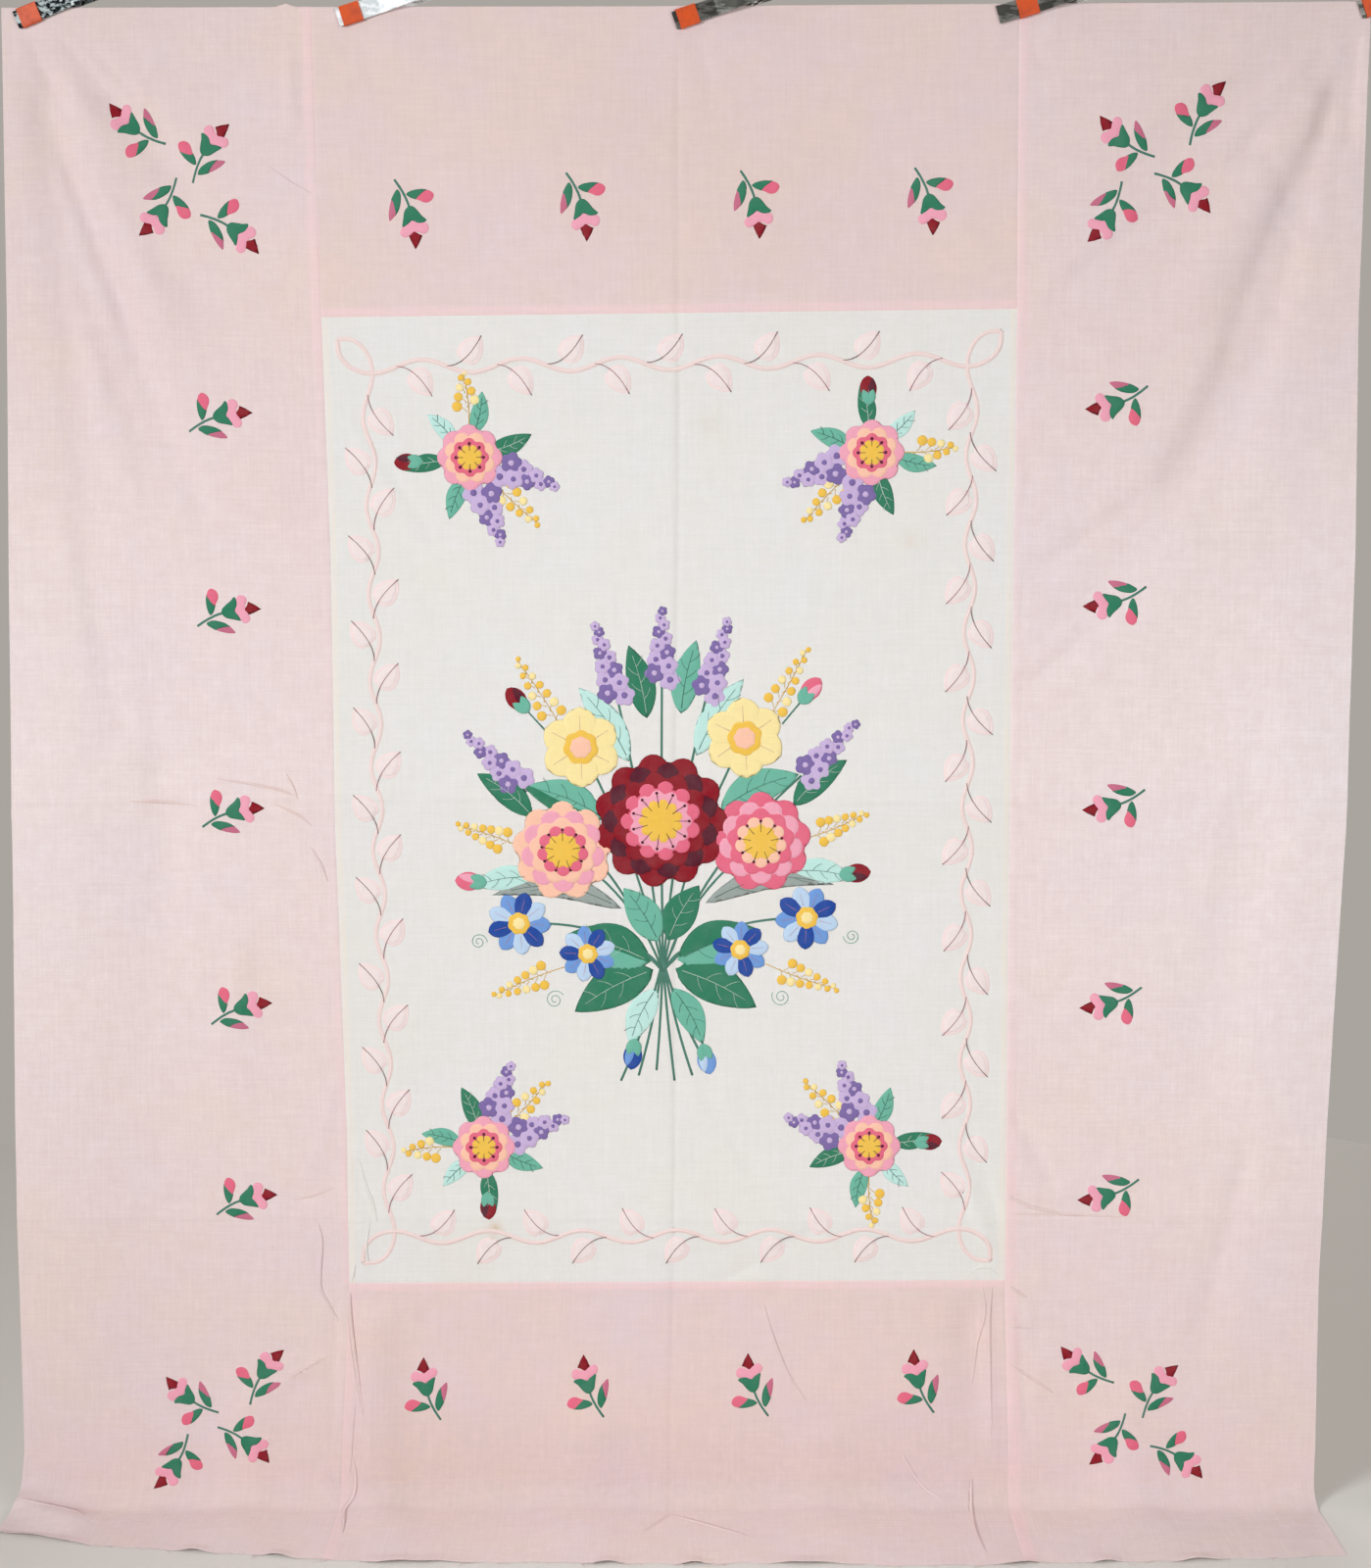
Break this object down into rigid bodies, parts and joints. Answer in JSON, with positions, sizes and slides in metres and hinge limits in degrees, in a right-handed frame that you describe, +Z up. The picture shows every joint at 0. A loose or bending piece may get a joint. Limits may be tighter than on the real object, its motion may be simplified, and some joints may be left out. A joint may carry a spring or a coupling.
{
  "type": "quilt top with hanging clamps",
  "caption": "Pieced cotton quilt top with a white centre and pink borders, hung by its turned-over top edge in spring clamps, its raw hem bending onto the floor.",
  "frame": {"origin": "middle of the cloth's top edge, where it turns over", "axes": "+Z up, the cloth's face looks towards -Y, +X to the right as seen from the front"},
  "size_m": [2.1876, 0.2475, 2.3071],
  "materials": {
    "pink_cotton": "plain-weave cotton, faded pink",
    "white_cotton": "plain-weave cotton, off-white",
    "plated_steel": "bright plated steel strap",
    "orange_vinyl": "soft dipped vinyl"
  },
  "bodies": {
    "root": {"left_panel": "pink_cotton", "right_panel": "pink_cotton", "top_panel": "pink_cotton", "white_panel": "white_cotton", "bottom_panel": "pink_cotton", "clamp_1_front_arm": "plated_steel", "clamp_1_front_tip": "orange_vinyl", "clamp_1_front_grip": "orange_vinyl", "clamp_1_back_arm": "plated_steel", "clamp_1_back_tip": "orange_vinyl", "clamp_1_back_grip": "orange_vinyl", "clamp_1_pin": "plated_steel", "clamp_1_spring": "plated_steel", "clamp_2_front_arm": "plated_steel", "clamp_2_front_tip": "orange_vinyl", "clamp_2_front_grip": "orange_vinyl", "clamp_2_back_arm": "plated_steel", "clamp_2_back_tip": "orange_vinyl", "clamp_2_back_grip": "orange_vinyl", "clamp_2_pin": "plated_steel", "clamp_2_spring": "plated_steel", "clamp_3_front_arm": "plated_steel", "clamp_3_front_tip": "orange_vinyl", "clamp_3_front_grip": "orange_vinyl", "clamp_3_back_arm": "plated_steel", "clamp_3_back_tip": "orange_vinyl", "clamp_3_back_grip": "orange_vinyl", "clamp_3_pin": "plated_steel", "clamp_3_spring": "plated_steel", "clamp_4_front_arm": "plated_steel", "clamp_4_front_tip": "orange_vinyl", "clamp_4_front_grip": "orange_vinyl", "clamp_4_back_arm": "plated_steel", "clamp_4_back_tip": "orange_vinyl", "clamp_4_back_grip": "orange_vinyl", "clamp_4_pin": "plated_steel", "clamp_4_spring": "plated_steel", "clamp_5_front_arm": "plated_steel", "clamp_5_front_tip": "orange_vinyl", "clamp_5_front_grip": "orange_vinyl", "clamp_5_back_arm": "plated_steel", "clamp_5_back_tip": "orange_vinyl", "clamp_5_back_grip": "orange_vinyl", "clamp_5_pin": "plated_steel", "clamp_5_spring": "plated_steel"}
  },
  "joints": []
}
